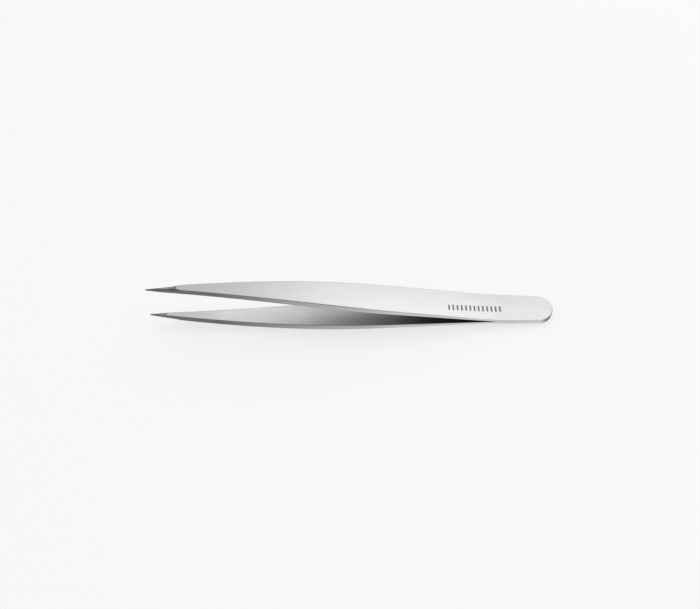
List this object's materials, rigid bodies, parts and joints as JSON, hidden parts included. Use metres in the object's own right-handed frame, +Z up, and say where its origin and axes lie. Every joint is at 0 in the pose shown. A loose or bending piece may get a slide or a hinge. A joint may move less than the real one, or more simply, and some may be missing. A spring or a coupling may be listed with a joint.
{
  "type": "precision tweezers",
  "caption": "Straight fine-point tweezers: slim steel arms welded at a rounded heel, thin and springy at the back, thicker and tapering to needle tips that meet on small gripping facets.",
  "frame": {"origin": "centre of the bounding box's footprint, on the table that the tweezers lie on", "axes": "+Z up, +X from the tips to the heel, +Y across the width; the tweezers lie on the lower arm's belly and the heel end, so the mid-plane between the arms slopes down towards the heel by about 4 degrees"},
  "size_m": [0.1202, 0.01, 0.0159],
  "materials": {
    "satin_steel": "fine lengthwise satin brushing, edges polished",
    "weld_steel": "dull fused metal"
  },
  "bodies": {
    "heel": {"upper_heel": "satin_steel", "lower_heel": "satin_steel", "spot_welds": "weld_steel"},
    "upper_arm": {"upper_arm": "satin_steel"},
    "lower_arm": {"lower_arm": "satin_steel"}
  },
  "joints": [
    {"name": "upper_flexure", "type": "hinge", "parent": "heel", "child": "upper_arm", "pos_m": [0.03516, 0, 0.0038], "axis": [0, -1, 0], "range_deg": [0, 3.3], "stiffness_Nm_per_rad": 4},
    {"name": "lower_flexure", "type": "hinge", "parent": "heel", "child": "lower_arm", "pos_m": [0.03501, 0, 0.00161], "axis": [0, 1, 0], "range_deg": [0, 3.3], "stiffness_Nm_per_rad": 4}
  ]
}
